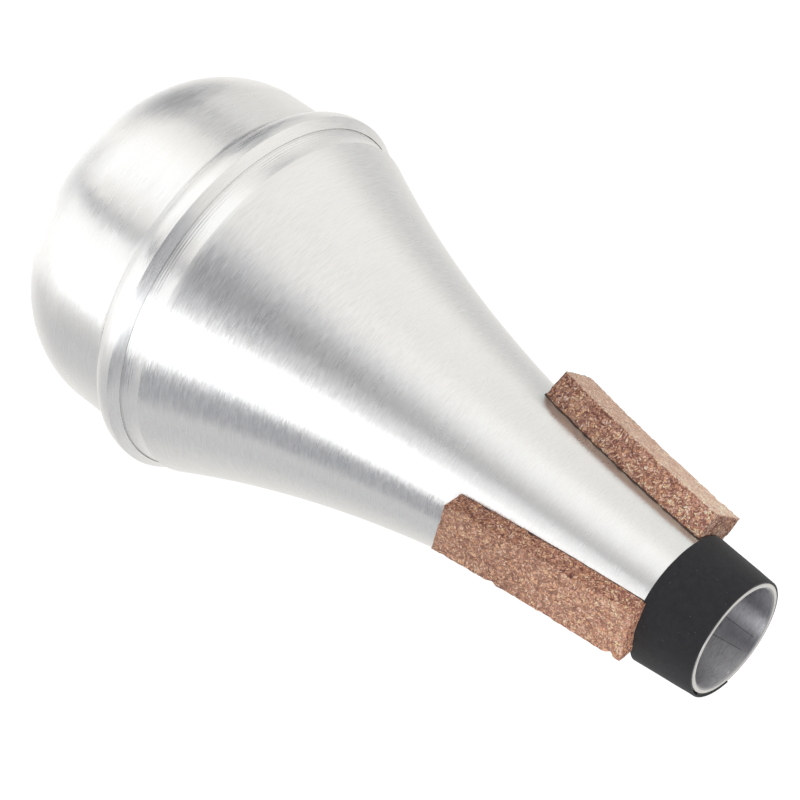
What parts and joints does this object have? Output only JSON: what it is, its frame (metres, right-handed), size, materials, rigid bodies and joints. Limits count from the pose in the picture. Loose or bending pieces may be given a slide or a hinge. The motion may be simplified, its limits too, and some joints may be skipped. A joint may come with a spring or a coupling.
{
  "type": "trumpet straight mute",
  "caption": "Spun aluminium straight mute for trumpet, with a seamed cap closing the wide end, cork strips along the cone and tape round the open neck.",
  "frame": {"origin": "middle of the flat base of the cap, on the axis, where the mute stands", "axes": "+Z along the axis from the flat base to the open neck; -Y is the side that the picture shows"},
  "size_m": [0.08, 0.08, 0.16],
  "materials": {
    "spun_aluminium": "satin, fine circumferential spinning lines",
    "neck_tape": "matte black cloth-backed tape",
    "cork": "matte agglomerated cork, cut faces",
    "contact_cement": "dull dark film"
  },
  "bodies": {
    "root": {"cone_body": "spun_aluminium", "base_cap": "spun_aluminium", "neck_tape": "neck_tape", "cork_strip_1": "cork", "cork_strip_2": "cork", "cork_strip_3": "cork", "cork_cement_1": "contact_cement", "cork_cement_2": "contact_cement", "cork_cement_3": "contact_cement"}
  },
  "joints": []
}
